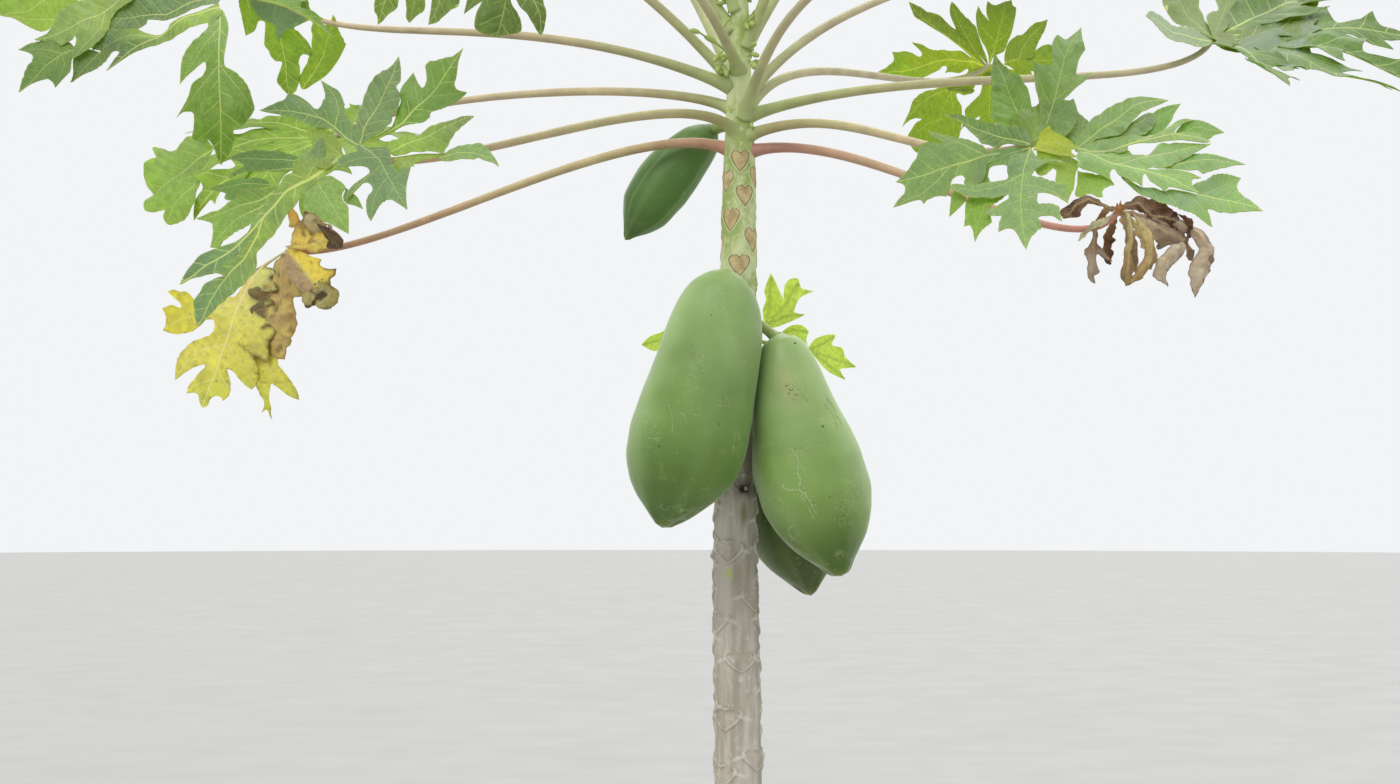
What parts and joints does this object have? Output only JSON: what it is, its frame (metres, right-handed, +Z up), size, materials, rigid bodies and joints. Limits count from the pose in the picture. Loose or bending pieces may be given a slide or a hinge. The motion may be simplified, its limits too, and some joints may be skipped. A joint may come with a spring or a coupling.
{
  "type": "papaya tree",
  "caption": "Young papaya tree: slim scarred trunk with a root flare, a spiral crown of long-stalked lobed leaves and large green fruits held close to the trunk.",
  "frame": {"origin": "centre of the flat cut under the trunk, at ground level", "axes": "+Z up along the trunk; -Y towards the viewer of the picture, +X to that viewer's right"},
  "size_m": [1.8282, 1.3975, 2.6681],
  "materials": {
    "trunk": "matt, ridged with leaf scars",
    "leaf_stalk": "smooth, slightly waxy",
    "leaf_blade": "satin leaf surface",
    "yellow_blade": "satin leaf surface, ageing",
    "withered_blade": "dry, crumpled",
    "fruit": "smooth waxy skin",
    "side_shoot": "satin leaf surface"
  },
  "bodies": {
    "root": {"fruit_behind": "fruit", "fruit_front_left": "fruit", "fruit_right": "fruit", "fruit_upper_left": "fruit", "leaf_blade_01": "yellow_blade", "leaf_blade_02": "withered_blade", "leaf_blade_03": "leaf_blade", "leaf_blade_04": "leaf_blade", "leaf_blade_05": "leaf_blade", "leaf_blade_06": "leaf_blade", "leaf_blade_07": "leaf_blade", "leaf_blade_08": "leaf_blade", "leaf_blade_09": "leaf_blade", "leaf_blade_10": "leaf_blade", "leaf_blade_11": "leaf_blade", "leaf_blade_12": "leaf_blade", "leaf_blade_13": "leaf_blade", "leaf_blade_14": "leaf_blade", "leaf_blade_15": "leaf_blade", "leaf_blade_16": "leaf_blade", "leaf_blade_17": "leaf_blade", "leaf_blade_18": "leaf_blade", "leaf_blade_19": "leaf_blade", "leaf_blade_20": "leaf_blade", "leaf_blade_21": "leaf_blade", "leaf_blade_22": "leaf_blade", "leaf_blade_23": "leaf_blade", "leaf_blade_24": "leaf_blade", "leaf_stalk_01": "leaf_stalk", "leaf_stalk_02": "leaf_stalk", "leaf_stalk_03": "leaf_stalk", "leaf_stalk_04": "leaf_stalk", "leaf_stalk_05": "leaf_stalk", "leaf_stalk_06": "leaf_stalk", "leaf_stalk_07": "leaf_stalk", "leaf_stalk_08": "leaf_stalk", "leaf_stalk_09": "leaf_stalk", "leaf_stalk_10": "leaf_stalk", "leaf_stalk_11": "leaf_stalk", "leaf_stalk_12": "leaf_stalk", "leaf_stalk_13": "leaf_stalk", "leaf_stalk_14": "leaf_stalk", "leaf_stalk_15": "leaf_stalk", "leaf_stalk_16": "leaf_stalk", "leaf_stalk_17": "leaf_stalk", "leaf_stalk_18": "leaf_stalk", "leaf_stalk_19": "leaf_stalk", "leaf_stalk_20": "leaf_stalk", "leaf_stalk_21": "leaf_stalk", "leaf_stalk_22": "leaf_stalk", "leaf_stalk_23": "leaf_stalk", "leaf_stalk_24": "leaf_stalk", "side_shoot_left": "side_shoot", "side_shoot_right": "side_shoot", "trunk": "trunk"}
  },
  "joints": []
}
